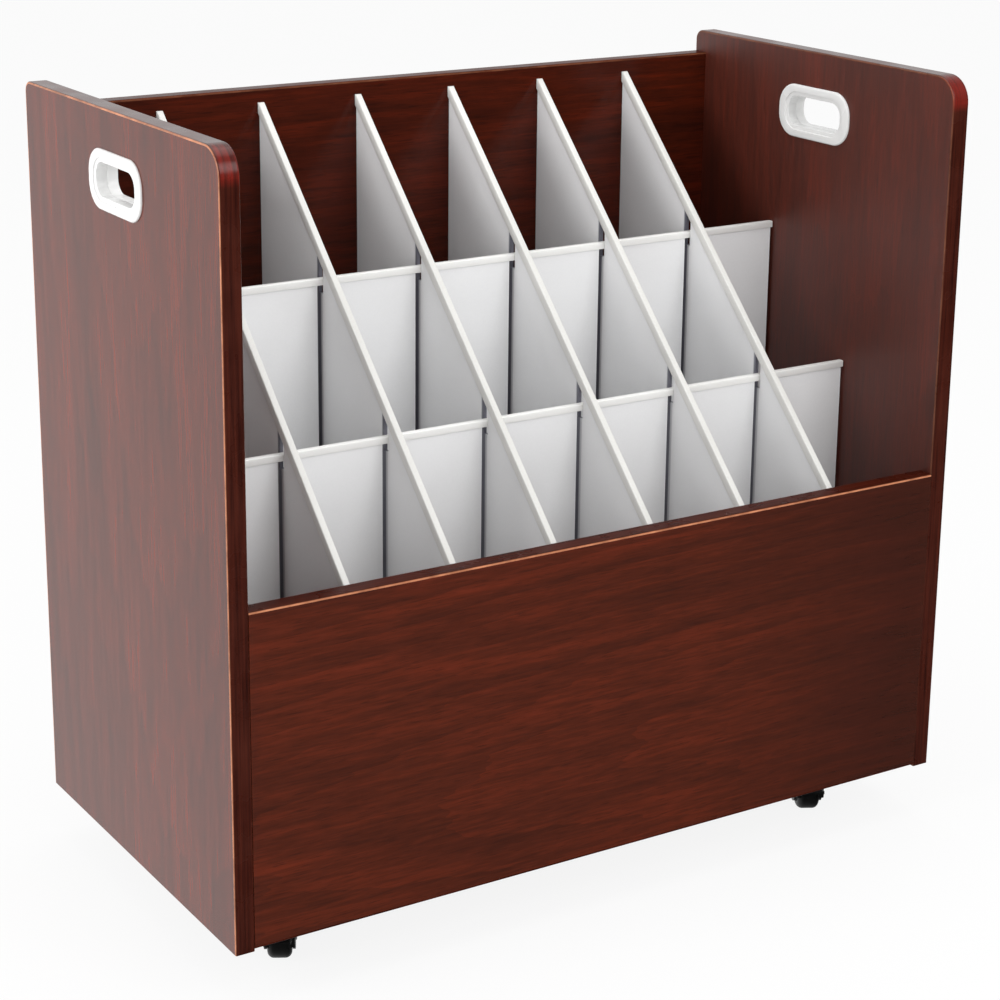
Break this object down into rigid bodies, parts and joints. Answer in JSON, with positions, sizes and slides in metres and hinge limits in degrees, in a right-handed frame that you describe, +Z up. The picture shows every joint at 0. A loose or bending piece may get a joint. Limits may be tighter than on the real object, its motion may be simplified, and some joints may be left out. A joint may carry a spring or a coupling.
{
  "type": "mobile blueprint roll file",
  "caption": "Open-topped mahogany roll file on swivel casters, with a grid of off-white dividers whose edges slope up to the back, and a hand hole with a white collar in each side.",
  "frame": {"origin": "on the floor under the middle of the cabinet", "axes": "+X to the right of someone facing the front, +Y to the back, +Z up"},
  "size_m": [0.773, 0.4, 0.743],
  "materials": {
    "mahogany_laminate": "dark red mahogany laminate, semi-gloss, streaky grain",
    "mahogany_edge_band": "mahogany-coloured edge band, semi-gloss",
    "divider_board": "thin hardboard with an off-white painted face, matt",
    "cap_strip": "off-white extruded strip, satin",
    "grip_plastic": "white moulded, soft gloss",
    "cam_zinc": "die-cast zinc",
    "zinc_steel": "zinc plated",
    "dowel_wood": "plain beech",
    "plate_steel": "black coated",
    "hood_plastic": "black moulded, fine grain",
    "wheel_plastic": "black hard tread, satin"
  },
  "bodies": {
    "cabinet": {"left_side_panel": "mahogany_laminate", "right_side_panel": "mahogany_laminate", "left_edge_band": "mahogany_edge_band", "right_edge_band": "mahogany_edge_band", "front_panel": "mahogany_laminate", "front_panel_band": "mahogany_edge_band", "back_panel": "mahogany_laminate", "back_panel_band": "mahogany_edge_band", "bottom_shelf": "mahogany_laminate", "long_divider_1": "divider_board", "long_divider_2": "divider_board", "long_divider_3": "divider_board", "long_divider_4": "divider_board", "long_divider_5": "divider_board", "long_divider_6": "divider_board", "long_cap_1": "cap_strip", "long_cap_2": "cap_strip", "long_cap_3": "cap_strip", "long_cap_4": "cap_strip", "long_cap_5": "cap_strip", "long_cap_6": "cap_strip", "cross_divider_front": "divider_board", "cross_divider_rear": "divider_board", "cross_cap_front": "cap_strip", "cross_cap_rear": "cap_strip", "left_grip_outer": "grip_plastic", "left_grip_inner": "grip_plastic", "right_grip_outer": "grip_plastic", "right_grip_inner": "grip_plastic", "cam_locks": "cam_zinc", "cam_bolts": "zinc_steel", "dowels": "dowel_wood", "caster_screws": "zinc_steel", "caster_plate_front_left": "plate_steel", "caster_plate_front_right": "plate_steel", "caster_plate_rear_left": "plate_steel", "caster_plate_rear_right": "plate_steel"},
    "swivel_front_left": {"caster_hood_front_left": "hood_plastic", "caster_axle_front_left": "zinc_steel"},
    "wheel_front_left": {"caster_wheel_front_left": "wheel_plastic"},
    "swivel_front_right": {"caster_hood_front_right": "hood_plastic", "caster_axle_front_right": "zinc_steel"},
    "wheel_front_right": {"caster_wheel_front_right": "wheel_plastic"},
    "swivel_rear_left": {"caster_hood_rear_left": "hood_plastic", "caster_axle_rear_left": "zinc_steel"},
    "wheel_rear_left": {"caster_wheel_rear_left": "wheel_plastic"},
    "swivel_rear_right": {"caster_hood_rear_right": "hood_plastic", "caster_axle_rear_right": "zinc_steel"},
    "wheel_rear_right": {"caster_wheel_rear_right": "wheel_plastic"},
    "brake_left": {"brake_lever_left": "hood_plastic"},
    "brake_right": {"brake_lever_right": "hood_plastic"}
  },
  "joints": [
    {"name": "front_left_swivel", "type": "hinge", "parent": "cabinet", "child": "swivel_front_left", "pos_m": [-0.298, -0.113, 0.0507], "axis": [0, 0, 1], "continuous": true},
    {"name": "front_left_wheel_spin", "type": "hinge", "parent": "swivel_front_left", "child": "wheel_front_left", "pos_m": [-0.30673, -0.12874, 0.02], "axis": [-0.8746, 0.4848, 0], "continuous": true},
    {"name": "front_right_swivel", "type": "hinge", "parent": "cabinet", "child": "swivel_front_right", "pos_m": [0.298, -0.113, 0.0507], "axis": [0, 0, 1], "continuous": true},
    {"name": "front_right_wheel_spin", "type": "hinge", "parent": "swivel_front_right", "child": "wheel_front_right", "pos_m": [0.28927, -0.12874, 0.02], "axis": [-0.8746, 0.4848, 0], "continuous": true},
    {"name": "rear_left_swivel", "type": "hinge", "parent": "cabinet", "child": "swivel_rear_left", "pos_m": [-0.298, 0.113, 0.0507], "axis": [0, 0, 1], "continuous": true},
    {"name": "rear_left_wheel_spin", "type": "hinge", "parent": "swivel_rear_left", "child": "wheel_rear_left", "pos_m": [-0.30673, 0.09726, 0.02], "axis": [-0.8746, 0.4848, 0], "continuous": true},
    {"name": "rear_right_swivel", "type": "hinge", "parent": "cabinet", "child": "swivel_rear_right", "pos_m": [0.298, 0.113, 0.0507], "axis": [0, 0, 1], "continuous": true},
    {"name": "rear_right_wheel_spin", "type": "hinge", "parent": "swivel_rear_right", "child": "wheel_rear_right", "pos_m": [0.28927, 0.09726, 0.02], "axis": [-0.8746, 0.4848, 0], "continuous": true},
    {"name": "left_brake", "type": "hinge", "parent": "swivel_front_left", "child": "brake_left", "pos_m": [-0.31882, -0.15056, 0.03008], "axis": [0.8746, -0.4848, 0], "range_deg": [0, 20]},
    {"name": "right_brake", "type": "hinge", "parent": "swivel_front_right", "child": "brake_right", "pos_m": [0.27718, -0.15056, 0.03008], "axis": [0.8746, -0.4848, 0], "range_deg": [0, 20]}
  ]
}
